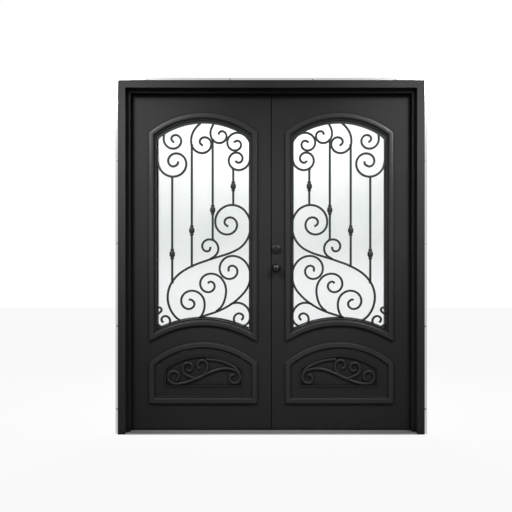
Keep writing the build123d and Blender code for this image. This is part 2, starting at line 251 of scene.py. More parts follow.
# Long fine scratches of a brushed or drawn metal
def brushedGroup():
    tree, given, result = shaderGroup("brushedLines", (
        ("Place", "Vector", None), ("Along", "Vector", (1.0, 40.0, 40.0)), ("Line Scale", "Float", 30.0)),
        ("Line",))
    stretch = put(tree, "ShaderNodeVectorMath", {"operation": "MULTIPLY"},
                  {0: given.outputs["Place"], 1: given.outputs["Along"]})
    line = noise(tree, stretch.outputs[0], given.outputs["Line Scale"], detail=4.0)
    tree.links.new(line, result.inputs["Line"])
    return tree


groups = {
    "skin": paintSkinGroup(),
    "dust": settledDustGroup(),
    "brushed": brushedGroup(),
    "creviceShade": creviceShadeGroup(),
}


def newMaterial(name):
    material = bpy.data.materials.new(name)
    material.use_nodes = True
    tree = material.node_tree
    place = put(tree, "ShaderNodeTexCoord").outputs["Object"]
    return material, tree, tree.nodes["Principled BSDF"], place


def placeGroup(tree, name, inputs):
    return put(tree, "ShaderNodeGroup", {"node_tree": groups[name]}, inputs)


# What every coat or every bare metal shares: colour of its dust, height of its relief, and the
# bounds between which its mottle goes from glossy to dull
surface = {
    "coatDust": (0.20, 0.19, 0.17, 1), "coatRelief": 0.0006,
    "metalDust": (0.24, 0.22, 0.19, 1), "metalRelief": 0.0003,
    "mottle": (0.3, 0.7),
}


def coatedSteel(name, look):
    material, tree, shader, place = newMaterial(name)
    skin = placeGroup(tree, "skin", {
        "Place": place, "Peel Height": look["peel"], "Wave Height": look["wave"]})
    dust = placeGroup(tree, "dust", {"Place": place, "Amount": look["dust"]})
    creviceShade = placeGroup(tree, "creviceShade", {"Reach": look["reach"], "Least": look["least"]})
    mottled = mixed(tree, skin.outputs["Mottle"], look["deep"], look["pale"])
    flecked = mixed(tree, skin.outputs["Speck"], mottled, look["fleck"], "ADD")
    dusted = mixed(tree, dust.outputs["Mask"], flecked, surface["coatDust"])
    # Painted shade: the crevice shade multiplies the colour darker in corners and grooves
    toned = mixed(tree, 1.0, dusted, creviceShade.outputs["PaintedShade"], "MULTIPLY")
    gloss = spanned(tree, skin.outputs["Mottle"], surface["mottle"], (look["glossy"], look["dull"]))
    bump = bumped(tree, skin.outputs["Height"], look["bump"], surface["coatRelief"])
    tree.links.new(toned, shader.inputs["Base Color"])
    tree.links.new(gloss, shader.inputs["Roughness"])
    tree.links.new(bump, shader.inputs["Normal"])
    shader.inputs["Specular IOR Level"].default_value = look["specular"]
    return material


def drawnMetal(name, look):
    material, tree, shader, place = newMaterial(name)
    line = placeGroup(tree, "brushed", {"Place": place, "Along": look["along"]}).outputs["Line"]
    dust = placeGroup(tree, "dust", {"Place": place, "Amount": look["dust"]})
    toned = mixed(tree, line, look["deep"], look["pale"])
    dusted = mixed(tree, dust.outputs["Mask"], toned, surface["metalDust"])
    gloss = spanned(tree, line, surface["mottle"], (look["glossy"], look["dull"]))
    bump = bumped(tree, line, look["bump"], surface["metalRelief"])
    tree.links.new(dusted, shader.inputs["Base Color"])
    tree.links.new(gloss, shader.inputs["Roughness"])
    tree.links.new(bump, shader.inputs["Normal"])
    shader.inputs["Metallic"].default_value = look["metallic"]
    return material


# Rain glass: fine running streaks and drops, with a painted reflection: a patchy grey band at mid height, as
# if the glass reflected a horizon
glassLook = {
    "clear": (0.885, 0.90, 0.905, 1),
    "reflectedGrey": (0.71, 0.745, 0.73, 1),
    "reflectionFrom": 0.88,   # heights between which the grey fades in and out
    "reflectionMost": 1.20,
    "reflectionTo": 2.04,
    "reflectionPatch": 3.5,
    "reflectionPatchBounds": (0.3, 0.7),
    "reflectionPatchShare": (0.65, 1.15),
    "roughness": 0.32,
    "specular": 0.15,
    "refraction": 1.46,
    "streak": (46.0, 46.0, 7.0),
    "streakScale": 1.6,
    "dropScale": 1.1,
    "dropHeight": 0.5,
    "bump": 0.35,
    "relief": 0.0015,
}


def rainGlass():
    look = glassLook
    material, tree, shader, place = newMaterial("rainGlass")
    height = put(tree, "ShaderNodeSeparateXYZ", None, {0: place}).outputs["Z"]
    # Painted reflection: a patchy grey band between two heights, mixed into the glass colour
    rise = spanned(tree, height, (look["reflectionFrom"], look["reflectionMost"]), (0.0, 1.0), "SMOOTHSTEP")
    fall = spanned(tree, height, (look["reflectionMost"], look["reflectionTo"]), (1.0, 0.0), "SMOOTHSTEP")
    reflectionBand = reckon(tree, "MULTIPLY", rise, fall)
    reflectionPatch = noise(tree, place, look["reflectionPatch"], detail=4.0)
    patchy = spanned(tree, reflectionPatch, look["reflectionPatchBounds"], look["reflectionPatchShare"])
    share = reckon(tree, "MULTIPLY", reflectionBand, patchy, clamp=True)
    tintAndReflection = mixed(tree, share, look["clear"], look["reflectedGrey"])
    run = put(tree, "ShaderNodeVectorMath", {"operation": "MULTIPLY"}, {0: place, 1: look["streak"]})
    streak = noise(tree, run.outputs[0], look["streakScale"], detail=3.0)
    drop = put(tree, "ShaderNodeTexVoronoi", {"feature": "SMOOTH_F1"},
               {"Vector": run.outputs[0], "Scale": look["dropScale"]})
    relief = reckon(tree, "MULTIPLY_ADD", drop.outputs["Distance"], look["dropHeight"], streak)
    bump = bumped(tree, relief, look["bump"], look["relief"])
    tree.links.new(tintAndReflection, shader.inputs["Base Color"])
    tree.links.new(bump, shader.inputs["Normal"])
    shader.inputs["Roughness"].default_value = look["roughness"]
    shader.inputs["Specular IOR Level"].default_value = look["specular"]
    shader.inputs["Transmission Weight"].default_value = 1.0
    shader.inputs["IOR"].default_value = look["refraction"]
    return material


rubberLook = {
    "deep": (0.006, 0.006, 0.006, 1), "pale": (0.014, 0.014, 0.014, 1),
    "grain": 300.0, "bump": 0.2, "relief": 0.0004, "roughness": 0.75, "specular": 0.2,
}


def sealRubber():
    look = rubberLook
    material, tree, shader, place = newMaterial("sealRubber")
    grain = noise(tree, place, look["grain"], detail=3.0)
    tone = mixed(tree, grain, look["deep"], look["pale"])
    bump = bumped(tree, grain, look["bump"], look["relief"])
    tree.links.new(tone, shader.inputs["Base Color"])
    tree.links.new(bump, shader.inputs["Normal"])
    shader.inputs["Roughness"].default_value = look["roughness"]
    shader.inputs["Specular IOR Level"].default_value = look["specular"]
    return material


# The reach and least of each coat set how far and how dark its painted crevice shade goes
finishes = {
    "framePaint": coatedSteel("framePaint", {
        "deep": (0.022, 0.022, 0.0225, 1), "pale": (0.030, 0.030, 0.0305, 1),
        "fleck": (0.006, 0.006, 0.006, 1), "glossy": 0.42, "dull": 0.52, "specular": 0.07,
        "peel": 0.30, "wave": 0.6, "bump": 0.35, "dust": 0.30, "reach": 0.05, "least": 0.30}),
    "leafPaint": coatedSteel("leafPaint", {
        "deep": (0.015, 0.015, 0.0158, 1), "pale": (0.021, 0.021, 0.0222, 1),
        "fleck": (0.005, 0.005, 0.005, 1), "glossy": 0.36, "dull": 0.46, "specular": 0.06,
        "peel": 0.30, "wave": 0.8, "bump": 0.35, "dust": 0.22, "reach": 0.022, "least": 0.15}),
    "trimPaint": coatedSteel("trimPaint", {
        "deep": (0.016, 0.016, 0.017, 1), "pale": (0.023, 0.023, 0.0245, 1),
        "fleck": (0.005, 0.005, 0.005, 1), "glossy": 0.30, "dull": 0.40, "specular": 0.13,
        "peel": 0.22, "wave": 0.8, "bump": 0.25, "dust": 0.18, "reach": 0.014, "least": 0.05}),
    "ironPaint": coatedSteel("ironPaint", {
        "deep": (0.017, 0.020, 0.019, 1), "pale": (0.026, 0.029, 0.028, 1),
        "fleck": (0.008, 0.008, 0.008, 1), "glossy": 0.38, "dull": 0.48, "specular": 0.12,
        "peel": 0.45, "wave": 1.2, "bump": 0.55, "dust": 0.25, "reach": 0.010, "least": 0.35}),
    "flangeCoat": drawnMetal("flangeCoat", {
        "deep": (0.53, 0.53, 0.53, 1), "pale": (0.61, 0.61, 0.605, 1), "along": (40.0, 40.0, 1.0),
        "glossy": 0.12, "dull": 0.18, "metallic": 1.0, "bump": 0.04, "dust": 0.1}),
    "sillMetal": drawnMetal("sillMetal", {
        "deep": (0.25, 0.25, 0.24, 1), "pale": (0.33, 0.33, 0.315, 1), "along": (1.0, 45.0, 45.0),
        "glossy": 0.46, "dull": 0.60, "metallic": 0.3, "bump": 0.2, "dust": 0.4}),
    "lockMetal": drawnMetal("lockMetal", {
        "deep": (0.018, 0.018, 0.018, 1), "pale": (0.032, 0.031, 0.030, 1), "along": (30.0, 2.0, 30.0),
        "glossy": 0.26, "dull": 0.38, "metallic": 1.0, "bump": 0.06, "dust": 0.1}),
    "rainGlass": rainGlass(),
    "sealRubber": sealRubber(),
}
print("finishes ready:", len(finishes))

# Which finish each node keeps, by the end of its name, and the width of its softened edges
nodeFinish = {
    "jamb": ("framePaint", 0.0014), "stop": ("framePaint", 0.0012), "threshold": ("sillMetal", 0.0010),
    "flange": ("flangeCoat", 0.0), "hinge_stile": ("leafPaint", 0.0), "meeting_stile": ("leafPaint", 0.0),
    "top_rail": ("leafPaint", 0.0), "lower_panel": ("leafPaint", 0.0), "glass_pane": ("rainGlass", 0.0),
    "glazing_bead": ("leafPaint", 0.0016), "kick_panel": ("leafPaint", 0.0012),
    "frame_hinges": ("framePaint", 0.0010), "leaf_hinges": ("leafPaint", 0.0010),
    "moulding": ("leafPaint", 0.0), "kick_scrolls": ("leafPaint", 0.0), "scroll_grille": ("ironPaint", 0.0),
    "grille_bars": ("ironPaint", 0.0), "knob": ("lockMetal", 0.0), "knob_roses": ("lockMetal", 0.0),
    "deadbolt": ("lockMetal", 0.0), "thumb_turn": ("lockMetal", 0.0),
}
softEdge = {"segments": 2, "leastAngle": 50}


def finishNodes():
    for name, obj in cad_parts.items():
        finish, edge = next(nodeFinish[end] for end in nodeFinish if name.endswith(end))
        obj.data.materials.clear()
        obj.data.materials.append(finishes[finish])
        if edge:
            bevel = obj.modifiers.new("softEdges", "BEVEL")
            bevel.width = edge
            bevel.segments = softEdge["segments"]
            bevel.limit_method = "ANGLE"
            bevel.angle_limit = math.radians(softEdge["leastAngle"])


finishNodes()


# A bmesh becomes a finished piece, mirrored to the other side of the door if asked
def finishPiece(bm, name, body, finish, nodes=(), mirrored=False, sharpAngle=35):
    if mirrored:
        bmesh.ops.scale(bm, vec=(-1, 1, 1), verts=bm.verts)
    bmesh.ops.remove_doubles(bm, verts=bm.verts, dist=1e-6)
    bmesh.ops.recalc_face_normals(bm, faces=bm.faces)
    mesh = bpy.data.meshes.new(name)
    bm.to_mesh(mesh)
    bm.free()
    mesh.materials.append(finishes[finish])
    mesh.shade_smooth()
    mesh.set_sharp_from_angle(angle=math.radians(sharpAngle))
    obj = bpy.data.objects.new(name, mesh)
    scene.collection.objects.link(obj)
    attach(obj, body)
    if nodes:
        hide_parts(*nodes)


# The same drawing for both leaves
def leafPieces(draw, name, finish, nodeEnds=(), sharpAngle=35):
    for side in sides:
        finishPiece(draw(), side + name, side + "_leaf", finish,
                    [side + "_" + end for end in nodeEnds], side == "right", sharpAngle)


# Arched openings by half width, head peak and radius, foot peak and radius
openings = {
    "centre": -0.416,
    "light": (0.286, 1.903, 0.475, 0.693, 0.620),
    "kick": (0.286, 0.500, 0.455, 0.217, None),
    "leafFront": 0.072,
    "leafBack": 0.122,
    "lap": 0.006,
    "arcSteps": 44,
    "mitreLeast": 0.3,
}


def arcPoints(x, z, radius, first, last, steps):
    angles = [math.radians(first + (last - first) * i / steps) for i in range(steps + 1)]
    return [Vector((x + radius * math.cos(a), z + radius * math.sin(a))) for a in angles]


def archedLoop(opening, grow=0.0):
    half, headPeak, headRadius, footPeak, footRadius = opening
    half += grow
    lean = math.degrees(math.acos(half / (headRadius + grow)))
    loop = arcPoints(0, headPeak - headRadius, headRadius + grow, 180 - lean, lean, openings["arcSteps"])
    if footRadius is None:
        loop += [Vector((half, footPeak - grow)), Vector((-half, footPeak - grow))]
    else:
        lean = math.degrees(math.acos(half / (footRadius - grow)))
        loop += arcPoints(0, footPeak - footRadius, footRadius - grow,
                          lean, 180 - lean, openings["arcSteps"])
    return loop


def joined(*parts):
    whole = bmesh.new()
    for part in parts:
        mesh = bpy.data.meshes.new("part")
        part.to_mesh(mesh)
        part.free()
        whole.from_mesh(mesh)
        bpy.data.meshes.remove(mesh)
    return whole


# Moulding swept round a closed outline with mitred corners.
# Section: distance out from the opening, and height off the face.
def sweptRing(loop, section, faceY, outwards=-1):
    bm = bmesh.new()
    rings = []
    for index, point in enumerate(loop):
        before = (point - loop[index - 1]).normalized()
        after = (loop[(index + 1) % len(loop)] - point).normalized()
        bisector = Vector((-(before + after).y, (before + after).x)).normalized()
        reach = 1 / max(openings["mitreLeast"], bisector.dot(Vector((-after.y, after.x))))
        ring = [bm.verts.new((openings["centre"] + point.x + bisector.x * reach * away,
                              faceY + outwards * height,
                              point.y + bisector.y * reach * away)) for away, height in section]
        rings.append(ring)
    for ring, following in zip(rings, rings[1:] + rings[:1]):
        for i in range(len(section)):
            j = (i + 1) % len(section)
            bm.faces.new((ring[i], ring[j], following[j], following[i]))
    return bm


# Flat plate with a hole, between two depths
def holedPlate(outer, hole, front, back):
    bm = bmesh.new()
    for loop in (outer, hole):
        corners = [bm.verts.new((openings["centre"] + p.x, front, p.y)) for p in loop]
        for a, b in zip(corners, corners[1:] + corners[:1]):
            bm.edges.new((a, b))
    bmesh.ops.triangle_fill(bm, use_beauty=True, edges=bm.edges[:])
    region = bmesh.ops.extrude_face_region(bm, geom=bm.faces[:])["geom"]
    risen = [item for item in region if isinstance(item, bmesh.types.BMVert)]
    bmesh.ops.translate(bm, vec=(0, back - front, 0), verts=risen)
    return bm


mouldings = {
    "ridge": ((0, 0), (0, 0.0035), (0.0006, 0.0050), (0.0020, 0.0060), (0.0042, 0.0062), (0.0060, 0.0052),
              (0.0072, 0.0041), (0.0086, 0.0044), (0.0100, 0.0062), (0.0120, 0.0092), (0.0144, 0.0125),
              (0.0162, 0.0145), (0.0178, 0.0156), (0.0198, 0.0163), (0.0222, 0.0165), (0.0256, 0.0164),
              (0.0330, 0.0160), (0.0390, 0.0155), (0.0410, 0.0149), (0.0419, 0.0136), (0.0422, 0.0052),
              (0.0432, 0.0040), (0.0446, 0.0028), (0.0450, 0.0)),
    "indoor": ((0, 0), (0, 0.0045), (0.0015, 0.0060), (0.0090, 0.0068), (0.0140, 0.0078), (0.0225, 0.0080),
               (0.0310, 0.0078), (0.0360, 0.0068), (0.0435, 0.0060), (0.0450, 0.0045), (0.0450, 0.0)),
    "shadeBead": ((0.0446, 0.0), (0.0448, 0.0012), (0.0462, 0.0010), (0.0480, 0.0)),
    "gasket": ((-0.0030, 0.0), (-0.0034, 0.0030), (-0.0020, 0.0042), (0.0040, 0.0042), (0.0056, 0.0)),
    "sharpAngle": 28,
}
light = openings["light"]
leafFront = openings["leafFront"]
leafBack = openings["leafBack"]
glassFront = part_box("left_glass_pane")[0].y


def mouldingRing(opening, section, faceY, outwards=-1):
    return sweptRing(archedLoop(openings[opening]), mouldings[section], faceY, outwards)


# Painted shade: a dark rubber bead round the outer edge of each moulding, a black line where the moulding's
# edge casts a thin shadow
def drawShadeBead():
    return joined(mouldingRing("light", "shadeBead", leafFront), mouldingRing("kick", "shadeBead", leafFront))


leafPieces(lambda: mouldingRing("light", "ridge", leafFront), "GlassMoulding", "trimPaint",
           ["glass_moulding"], mouldings["sharpAngle"])
leafPieces(lambda: mouldingRing("kick", "ridge", leafFront), "KickMoulding", "trimPaint",
           ["kick_moulding"], mouldings["sharpAngle"])
leafPieces(lambda: mouldingRing("kick", "indoor", leafBack, 1), "InsideKickMoulding", "leafPaint",
           ["inside_kick_moulding"], mouldings["sharpAngle"])
leafPieces(lambda: mouldingRing("light", "gasket", glassFront), "GlassGasket", "sealRubber")
leafPieces(drawShadeBead, "MouldingCaulk", "sealRubber")
print("mouldings ready")

# Bar under the arch that closes the head of the grille with rounded corners
archBar = {"depth": 0.017, "corner": 0.075, "cornerSteps": 14, "front": 0.074, "back": 0.086}


def roundedHole():
    half, headPeak, headRadius, footPeak, footRadius = light
    radius = headRadius - archBar["depth"]
    middle = headPeak - headRadius
    bend = archBar["corner"]
    bendX = half - bend
    bendZ = middle + math.sqrt((radius - bend) ** 2 - bendX**2)
    lean = math.degrees(math.atan2(bendZ - middle, bendX))
    loop = arcPoints(-bendX, bendZ, bend, 180, 180 - lean, archBar["cornerSteps"])
    loop += arcPoints(0, middle, radius, 180 - lean, lean, openings["arcSteps"])[1:-1]
    loop += arcPoints(bendX, bendZ, bend, lean, 0, archBar["cornerSteps"])
    lean = math.degrees(math.acos(half / footRadius))
    return loop + arcPoints(0, footPeak - footRadius, footRadius, lean, 180 - lean, openings["arcSteps"])


def drawArchBar():
    outer = archedLoop(light, openings["lap"])
    return holedPlate(outer, roundedHole(), archBar["front"], archBar["back"])


leafPieces(drawArchBar, "ArchBar", "ironPaint", ["scroll_grille"])


# Stations of a bent bar: a point from the middle of the glass, and the way the bar runs there
def heading(degrees):
    return Vector((math.cos(math.radians(degrees)), math.sin(math.radians(degrees))))


def station(x, z, degrees):
    return Vector((x, z)), heading(degrees)


spiral = {
    "step": 30, "eyeShare": 0.2, "eyeLeast": 0.013, "fineTurn": math.radians(5),
    "parallel": 1e-6, "straight": 1e-3,   # below these, two headings or an arc count as one line
}


# A spiral about a point, by outer radius, shrinkage a quarter turn, start angle and sweep
def curl(x, z, outer, shrink, start, sweep):
    steps = math.ceil(abs(sweep) / spiral["step"])
    hand = math.copysign(1, sweep)
    eye = max(spiral["eyeLeast"], outer * spiral["eyeShare"])
    stations = []
    for i in range(steps + 1):
        swung = sweep * i / steps
        radius = max(eye, outer - shrink * abs(swung) / 90)
        slope = -shrink / math.radians(90) if radius > eye else 0
        spoke = heading(start + swung)
        along = heading(start + swung + 90 * hand) * radius + spoke * slope
        stations.append((Vector((x, z)) + spoke * radius, along.normalized()))
    return stations


def backwards(stations):
    return [(point, -along) for point, along in reversed(stations)]


# Where the two tangent arcs between two stations meet
def meetingPoint(here, there):
    chord = there[0] - here[0]
    spread = 2 - 2 * here[1].dot(there[1])
    reach = chord.dot(here[1] + there[1])
    if spread < spiral["parallel"]:
        length = chord.length_squared / (2 * reach)
    else:
        length = (math.sqrt(reach**2 + spread * chord.length_squared) - reach) / spread
    return (here[0] + there[0] + (here[1] - there[1]) * length) / 2


def arcTo(start, along, end):
    chord = end - start
    left = Vector((-along.y, along.x))
    rise = chord.dot(left)
    if abs(rise) < spiral["straight"] * chord.length:
        return [start, end]
    middle = start + left * (chord.length_squared / (2 * rise))
    turn = 2 * math.atan2(rise, chord.dot(along))
    steps = math.ceil(abs(turn) / spiral["fineTurn"])
    return [middle + Matrix.Rotation(turn * i / steps, 2) @ (start - middle) for i in range(steps + 1)]


def bentLine(stations):
    points = [stations[0][0]]
    for here, there in zip(stations, stations[1:]):
        joint = meetingPoint(here, there)
        points += arcTo(here[0], here[1], joint)[1:] + arcTo(there[0], -there[1], joint)[-2::-1]
    return points


def cornerScrolls():
    spine = station(0.291, 1.740, 270)
    return [
        [station(-0.240, 1.838, 268)] + curl(-0.178, 1.786, 0.066, 0.012, 172, 453),
        [station(-0.292, 1.730, 270)] + curl(-0.176, 1.648, 0.101, 0.016, 188, 550),
        [station(-0.020, 1.886, 217)] + curl(0, 1.767, 0.0745, 0.0135, 180, 440),
        [station(0.066, 1.890, 238)] + curl(0.106, 1.816, 0.062, 0.0135, 180, 350),
        backwards(curl(0.201, 1.763, 0.0725, 0.0125, 45, 470)) + [spine],
        [spine] + curl(0.209, 1.666, 0.076, 0.0115, 0, -505),
    ]


def greatScroll():
    stem = [station(0.175, 1.387, 0), station(0.289, 1.258, 270), station(0.210, 1.115, 210),
            station(0.053, 1.058, 197), station(-0.122, 0.984, 212), station(-0.219, 0.822, 270),
            station(-0.078, 0.668, 5)]
    upper = backwards(curl(0.154, 1.273, 0.0805, 0.0145, 180, 445))
    return upper + stem + curl(-0.080, 0.790, 0.087, 0.016, 0, 480)


def lowerScrolls():
    second = backwards(curl(0.168, 0.988, 0.0675, 0.014, 180, 395))
    second += [station(0.178, 1.075, 0), station(0.288, 0.955, 270), station(0.160, 0.772, 212),
               station(-0.026, 0.698, 196)]
    corner = backwards(curl(-0.272, 0.745, 0.016, 0.001, -50, 170)) + [station(-0.289, 0.700, 270)]
    return [
        [station(0.042, 1.057, 22)] + curl(0.0295, 1.127, 0.063, 0.013, -10, 385),
        second,
        [station(0.080, 0.738, 30), station(0.139, 0.862, 90)] + curl(0.037, 0.897, 0.0685, 0.0125, 90, 400),
        [station(0.165, 0.777, 32), station(0.207, 0.788, 0)] + curl(0.226, 0.694, 0.060, 0.01075, 0, -427),
        corner + curl(-0.238, 0.680, 0.049, 0.00775, 180, 420),
    ]


def geometryTree(name, inputs):
    tree = bpy.data.node_groups.new(name, "GeometryNodeTree")
    tree.interface.new_socket(name="Geometry", in_out="INPUT", socket_type="NodeSocketGeometry")
    for label, kind, value in inputs:
        socket = tree.interface.new_socket(name=label, in_out="INPUT", socket_type="NodeSocket" + kind)
        if value is not None:
            socket.default_value = value
    tree.interface.new_socket(name="Geometry", in_out="OUTPUT", socket_type="NodeSocketGeometry")
    return tree, tree.nodes.new("NodeGroupInput"), tree.nodes.new("NodeGroupOutput")


# A bar of rounded square section that follows every line of its mesh.
# Lines lie in XY and are stood up into XZ.
def barTree():
    tree, given, result = geometryTree("barAlongLine", (
        ("Bar Width", "Float", 0.012), ("Bar Depth", "Float", 0.012), ("Corner Radius", "Float", 0.002),
        ("Corner Steps", "Int", 2), ("Middle", "Vector", (0.0, 0.0, 0.0)), ("Finish", "Material", None)))
    line = put(tree, "GeometryNodeMeshToCurve", None, {0: given.outputs["Geometry"]})
    level = put(tree, "GeometryNodeSetCurveNormal", {"mode": "Z_UP"}, {0: line.outputs[0]})
    square = put(tree, "GeometryNodeCurvePrimitiveQuadrilateral", None,
                 {"Width": given.outputs["Bar Width"], "Height": given.outputs["Bar Width"]})
    profile = put(tree, "GeometryNodeFilletCurve", {"mode": "POLY"},
                  {"Curve": square.outputs[0], "Radius": given.outputs["Corner Radius"],
                   "Count": given.outputs["Corner Steps"], "Limit Radius": True})
    bar = put(tree, "GeometryNodeCurveToMesh", None,
              {"Curve": level.outputs[0], "Profile Curve": profile.outputs[0], "Fill Caps": True})
    flat = reckon(tree, "DIVIDE", given.outputs["Bar Depth"], given.outputs["Bar Width"])
    scale = put(tree, "ShaderNodeCombineXYZ", None, {0: 1.0, 1: 1.0, 2: flat})
    thinned = put(tree, "GeometryNodeTransform", None,
                  {"Geometry": bar.outputs[0], "Scale": scale.outputs[0]})
    stood = put(tree, "GeometryNodeTransform", None,
                {"Geometry": thinned.outputs[0], "Rotation": (math.radians(90), 0, 0),
                 "Translation": given.outputs["Middle"]})
    real = put(tree, "GeometryNodeRealizeInstances", None, {0: stood.outputs[0]})
    painted = put(tree, "GeometryNodeSetMaterial", None,
                  {"Geometry": real.outputs[0], "Material": given.outputs["Finish"]})
    tree.links.new(painted.outputs[0], result.inputs[0])
    return tree


# One small fitting at every point of its mesh, each a little larger or smaller,
# and turned about the axis to the front
def fittingTree():
    tree, given, result = geometryTree("fittingsAtPoints", (
        ("Fitting", "Object", None), ("Size Least", "Float", 1.0), ("Size Most", "Float", 1.0),
        ("Turn Most", "Float", 0.0), ("Seed", "Int", 7), ("Finish", "Material", None)))
    source = put(tree, "GeometryNodeObjectInfo", None, {"Object": given.outputs["Fitting"]})
    size = put(tree, "FunctionNodeRandomValue", {"data_type": "FLOAT"},
               {2: given.outputs["Size Least"], 3: given.outputs["Size Most"],
                "Seed": given.outputs["Seed"]})
    turn = put(tree, "FunctionNodeRandomValue", {"data_type": "FLOAT"},
               {3: given.outputs["Turn Most"], "Seed": given.outputs["Seed"]})
    spin = put(tree, "ShaderNodeCombineXYZ", None, {1: turn.outputs[1]})
    placed = put(tree, "GeometryNodeInstanceOnPoints", None,
                 {"Points": given.outputs["Geometry"], "Instance": source.outputs["Geometry"],
                  "Rotation": spin.outputs[0], "Scale": size.outputs[1]})
    real = put(tree, "GeometryNodeRealizeInstances", None, {0: placed.outputs[0]})
    painted = put(tree, "GeometryNodeSetMaterial", None,
                  {"Geometry": real.outputs[0], "Material": given.outputs["Finish"]})
    tree.links.new(painted.outputs[0], result.inputs[0])
    return tree


trees = {"bar": barTree(), "fitting": fittingTree()}


# Runs a geometry tree on points and lines, and returns the result as a bmesh
def grown(tree, points, lines, values):
    mesh = bpy.data.meshes.new("guide")
    mesh.from_pydata(points, lines, [])
    guide = bpy.data.objects.new("guide", mesh)
    scene.collection.objects.link(guide)
    modifier = guide.modifiers.new("shape", "NODES")
    modifier.node_group = tree
    for item in tree.interface.items_tree:
        if item.in_out == "INPUT" and item.name in values:
            modifier[item.identifier] = values[item.name]
    bpy.context.view_layer.update()
    result = bpy.data.meshes.new_from_object(guide.evaluated_get(bpy.context.evaluated_depsgraph_get()))
    bm = bmesh.new()
    bm.from_mesh(result)
    bpy.data.objects.remove(guide)
    bpy.data.meshes.remove(result)
    return bm


def barsAlong(lines, middle, width, depth, corner, steps, finish):
    points = []
    edges = []
    for line in lines:
        start = len(points)
        points += [(p.x, p.y, 0) for p in line]
        edges += [(i, i + 1) for i in range(start, start + len(line) - 1)]
    return grown(trees["bar"], points, edges, {
        "Bar Width": width, "Bar Depth": depth, "Corner Radius": corner, "Corner Steps": steps,
        "Middle": middle, "Finish": finishes[finish]})


def fittingsAt(fitting, points, finish, least=1.0, most=1.0, turn=0.0):
    mesh = bpy.data.meshes.new("fitting")
    fitting.to_mesh(mesh)
    fitting.free()
    helper = bpy.data.objects.new("fitting", mesh)
    scene.collection.objects.link(helper)
    bm = grown(trees["fitting"], points, [], {
        "Fitting": helper, "Size Least": least, "Size Most": most, "Turn Most": turn,
        "Finish": finishes[finish]})
    bpy.data.objects.remove(helper)
    return bm


quarterTurns = {
    "Z": Matrix.Identity(4),
    "-Y": Matrix.Rotation(math.radians(90), 4, "X"),
    "Y": Matrix.Rotation(math.radians(-90), 4, "X"),
    "X": Matrix.Rotation(math.radians(90), 4, "Y"),
}


# Solid turned about Z, by radius and height, then laid along the axis asked for
def turned(section, segments, axis="Z"):
    bm = bmesh.new()
    rings = []
    for radius, height in section:
        if radius == 0:
            rings.append([bm.verts.new((0, 0, height))])
            continue
        angles = [2 * math.pi * i / segments for i in range(segments)]
        rings.append([bm.verts.new((radius * math.cos(a), radius * math.sin(a), height)) for a in angles])
    for low, high in zip(rings, rings[1:]):
        for i in range(segments):
            j = (i + 1) % segments
            corners = (low[i % len(low)], low[j % len(low)], high[j % len(high)], high[i % len(high)])
            bm.faces.new(list(dict.fromkeys(corners)))
    bmesh.ops.transform(bm, matrix=quarterTurns[axis], verts=bm.verts)
    return bm


def moved(bm, x, y, z):
    bmesh.ops.translate(bm, vec=(x, y, z), verts=bm.verts)
    return bm


# A block with softened edges between two corners
def softBlock(low, high, edge):
    bm = bmesh.new()
    bmesh.ops.create_cube(bm, size=1)
    low, high = Vector(low), Vector(high)
    bmesh.ops.scale(bm, vec=high - low, verts=bm.verts)
    bmesh.ops.translate(bm, vec=(low + high) / 2, verts=bm.verts)
    bmesh.ops.bevel(bm, geom=bm.edges[:], offset=edge, segments=3, profile=0.5, affect="EDGES")
    return bm


iron = {
    "bar": (0.0132, 0.0132, 0.0022, 3),      # width, depth, corner radius and corner steps
    "relief": (0.0160, 0.0150, 0.0068, 4),   # the same of the kick panel's scrolls
    "middleY": 0.080,
    "reliefMiddleY": 0.0680,
    "reach": 0.2858,   # bars keep inside the opening, from the middle of the glass
    # Each upright bar: its place across the glass, foot, head, and middle of its knuckle
    "uprights": ((-0.191, 0.912, 1.555, 1.086), (-0.071, 1.010, 1.752, 1.231),
                 (0.057, 1.176, 1.786, 1.357), (0.183, 1.391, 1.606, 1.502)),
    "knuckle": ((0, -0.0320), (0.0072, -0.0320), (0.0098, -0.0306), (0.0116, -0.0276),
                (0.0120, -0.0250), (0.0114, -0.0224), (0.0096, -0.0204), (0.0092, -0.0192),
                (0.0106, -0.0178), (0.0142, -0.0142), (0.0163, -0.0096), (0.0170, -0.0040),
                (0.0170, 0.0040), (0.0163, 0.0096), (0.0142, 0.0142), (0.0106, 0.0178),
                (0.0092, 0.0192), (0.0096, 0.0204), (0.0114, 0.0224), (0.0120, 0.0250),
                (0.0116, 0.0276), (0.0098, 0.0306), (0.0072, 0.0320), (0, 0.0320)),
    "knuckleSizes": (0.98, 1.03),
    "weld": ((0, -0.0052), (0.0042, -0.0040), (0.0062, 0), (0.0042, 0.0040), (0, 0.0052)),
    "weldSizes": (0.85, 1.2),
    "weldTurn": 3.0,
    "weldAside": 0.0045,
    "weldBeyond": 0.001,   # past the end of an upright, or behind the middle of a scroll
}


def kept(line):
    return [Vector((max(-iron["reach"], min(iron["reach"], p.x)), p.y)) for p in line]


def scrollLines():
    return [kept(bentLine(s)) for s in cornerScrolls() + [greatScroll()] + lowerScrolls()]


def reliefLines():
    leftCurl = backwards(curl(-0.176, 0.336, 0.043, 0.005, -90, -330))
    rightCurl = curl(0.188, 0.328, 0.038, 0.006, 10, -290)
    stem = [station(-0.050, 0.321, 22), station(0.084, 0.378, 17), station(0.150, 0.385, -2)]
    return [bentLine(s) for s in (
        leftCurl + stem + rightCurl,
        [station(-0.040, 0.322, 165)] + curl(-0.090, 0.390, 0.036, 0.006, 180, -330),
        [station(-0.030, 0.326, 22), station(0.014, 0.362, 58)] + curl(-0.010, 0.405, 0.037, 0.006, 0, 250),
        [station(0.020, 0.444, -6), station(0.130, 0.424, -20), station(0.222, 0.352, -72)],
    )]


